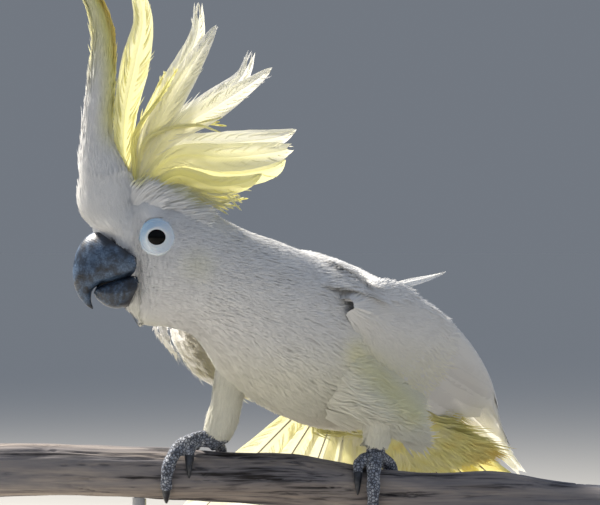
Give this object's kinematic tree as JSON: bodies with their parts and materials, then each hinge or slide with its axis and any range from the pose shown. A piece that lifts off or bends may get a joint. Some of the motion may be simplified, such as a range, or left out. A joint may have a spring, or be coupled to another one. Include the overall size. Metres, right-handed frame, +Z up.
{
  "type": "sulphur-crested cockatoo, still model on a perch",
  "caption": "Life-size white cockatoo with raised yellow crest, fanned tail and folded wings, gripping a cut branch on a plain display stand.",
  "frame": {"origin": "centre of the display base's underside, on the floor", "axes": "+Z up; +X along the perch, with the bird's head towards -X; +Y towards the tail, so the bird is seen side-on to three-quarter from -Y"},
  "size_m": [0.372, 0.3566, 0.435],
  "materials": {
    "white_plumage": "soft matte white feathers",
    "yellow_plumage": "soft matte pale sulphur-yellow feathers",
    "bill_horn": "dark slate horn with a powdery bloom",
    "eye": "wet glossy near-black",
    "bare_skin": "fine creased pale blue-grey skin",
    "foot_scale": "dry dark grey scales",
    "claw_horn": "smooth dark horn",
    "weathered_branch": "barkless weathered grey-brown wood with long cracks",
    "stand_wood": "satin dark stained hardwood",
    "stand_steel": "satin steel"
  },
  "bodies": {
    "root": {"bill_lower": "bill_horn", "bill_upper": "bill_horn", "claw_left_inner_back": "claw_horn", "claw_left_inner_front": "claw_horn", "claw_left_outer_back": "claw_horn", "claw_left_outer_front": "claw_horn", "claw_right_inner_back": "claw_horn", "claw_right_inner_front": "claw_horn", "claw_right_outer_back": "claw_horn", "claw_right_outer_front": "claw_horn", "crest_01": "yellow_plumage", "crest_02": "yellow_plumage", "crest_03": "yellow_plumage", "crest_04": "yellow_plumage", "crest_05": "yellow_plumage", "crest_06": "yellow_plumage", "crest_07": "yellow_plumage", "crest_08": "yellow_plumage", "crest_09": "yellow_plumage", "crest_10": "yellow_plumage", "crest_front": "white_plumage", "eye_left": "eye", "eye_right": "eye", "foot_left": "foot_scale", "foot_right": "foot_scale", "head": "white_plumage", "leg_left": "white_plumage", "leg_right": "white_plumage", "neck": "white_plumage", "perch": "weathered_branch", "stand_base": "stand_wood", "stand_rod_1": "stand_steel", "stand_rod_2": "stand_steel", "tail": "yellow_plumage", "trunk": "white_plumage", "wing_left": "white_plumage", "wing_right": "white_plumage"}
  },
  "joints": []
}
